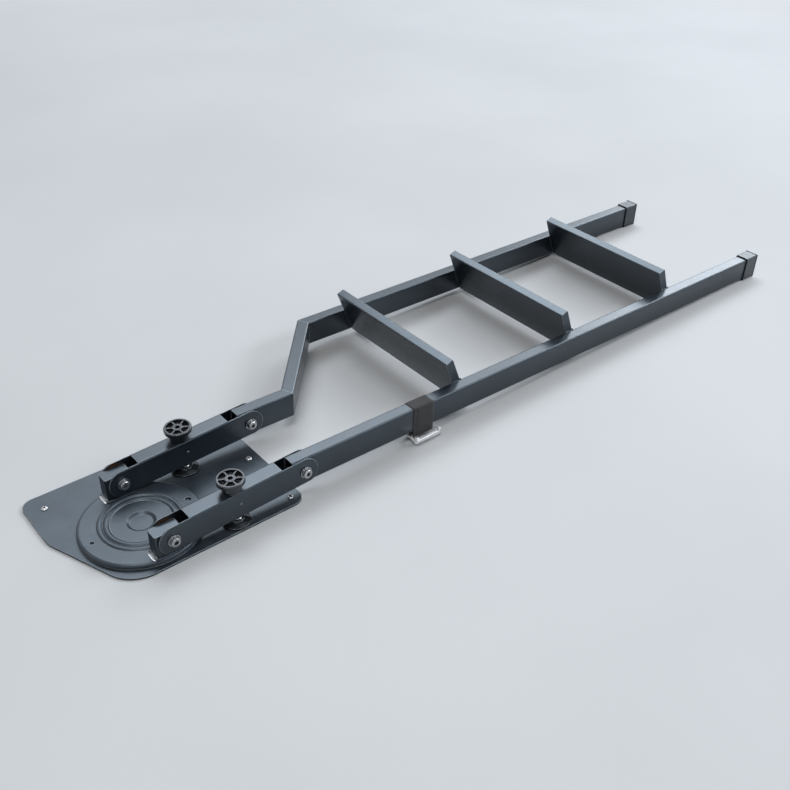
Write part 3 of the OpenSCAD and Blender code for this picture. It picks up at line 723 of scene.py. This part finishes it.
def build_world():
    world = bpy.data.worlds.new("studio_world")
    bpy.context.scene.world = world
    world.use_nodes = True
    nodes, links = world.node_tree.nodes, world.node_tree.links
    nodes.clear()

    def either(a, b):
        node = nodes.new("ShaderNodeMath")
        node.operation = "MAXIMUM"
        links.new(a, node.inputs[0])
        links.new(b, node.inputs[1])
        return node.outputs[0]

    def background(color, strength):
        node = nodes.new("ShaderNodeBackground")
        node.inputs[0].default_value = (*color, 1.0)
        node.inputs[1].default_value = strength
        return node.outputs[0]

    ray = nodes.new("ShaderNodeLightPath").outputs
    seen = either(ray["Is Camera Ray"], either(ray["Is Transmission Ray"], ray["Is Glossy Ray"]))
    blend = nodes.new("ShaderNodeMixShader")
    links.new(seen, blend.inputs[0])
    links.new(background(AMBIENT, AMBIENT_STRENGTH), blend.inputs[1])
    links.new(background(BACKGROUND, BACKGROUND_STRENGTH), blend.inputs[2])
    links.new(blend.outputs[0], nodes.new("ShaderNodeOutputWorld").inputs[0])


build_world()


# Lamps

def softbox(name, azimuth, elevation, distance, wide, high, radiance, roll, color=(0.90, 0.95, 1.0)):
    """Area lamp that faces the ladder. Azimuth is from +X toward +Y; the roll lowers its right end."""
    a, e = math.radians(azimuth), math.radians(elevation)
    away = Vector((math.cos(a) * math.cos(e), math.sin(a) * math.cos(e), math.sin(e)))
    data = bpy.data.lights.new(name, "AREA")
    data.shape, data.size, data.size_y = "RECTANGLE", wide, high
    data.energy, data.color = radiance * math.pi * wide * high, color
    lamp = bpy.data.objects.new(name, data)
    facing = away.to_track_quat("Z", "Y").to_matrix().to_4x4()
    lamp.matrix_world = (Matrix.Translation(LADDER_MIDDLE + away * distance) @ facing
                         @ Matrix.Rotation(math.radians(roll), 4, "Z"))
    bpy.context.scene.collection.objects.link(lamp)


softbox("sky_softbox", azimuth=55.0, elevation=44.5, distance=8.0, wide=4.1, high=2.4, radiance=4.8,
        roll=19.0)
softbox("low_softbox", azimuth=18.5, elevation=30.0, distance=8.0, wide=4.7, high=3.2, radiance=6.2,
        roll=-25.0)
softbox("high_softbox", azimuth=78.0, elevation=60.0, distance=8.0, wide=4.0, high=2.4, radiance=6.6,
        roll=-31.0)
softbox("edge_softbox", azimuth=-40.0, elevation=35.0, distance=4.0, wide=2.9, high=0.7, radiance=11.0,
        roll=-25.0)
softbox("top_softbox", azimuth=216.0, elevation=62.0, distance=4.0, wide=1.5, high=1.3, radiance=8.5,
        roll=0.0, color=(1.0, 0.99, 0.97))


# Camera, fitted to edges of the object in the photograph

PHOTO_PIXELS, FOCAL_PIXELS = 790.0, 986.08
CAMERA_AT = (-0.3524, -0.936, 0.8785)
heading, pitch, roll = (math.radians(d) for d in (50.4265, 35.008, 0.9838))
forward = Vector((math.cos(heading) * math.cos(pitch), math.sin(heading) * math.cos(pitch),
                  -math.sin(pitch)))
right = forward.cross(Vector((0, 0, 1))).normalized()
down = forward.cross(right)
x_axis = math.cos(roll) * right - math.sin(roll) * down
y_axis = -(math.sin(roll) * right + math.cos(roll) * down)
camera_data = bpy.data.cameras.new("photo_camera")
camera_data.sensor_fit = "HORIZONTAL"
camera_data.sensor_width = 36.0
camera_data.lens = FOCAL_PIXELS / PHOTO_PIXELS * camera_data.sensor_width
camera_data.clip_start, camera_data.clip_end = 0.01, 60.0
camera = bpy.data.objects.new("photo_camera", camera_data)
looking = Matrix((x_axis, y_axis, -forward)).transposed().to_4x4()
camera.matrix_world = Matrix.Translation(CAMERA_AT) @ looking
bpy.context.scene.collection.objects.link(camera)
bpy.context.scene.camera = camera
bpy.context.scene.view_settings.view_transform = "Standard"
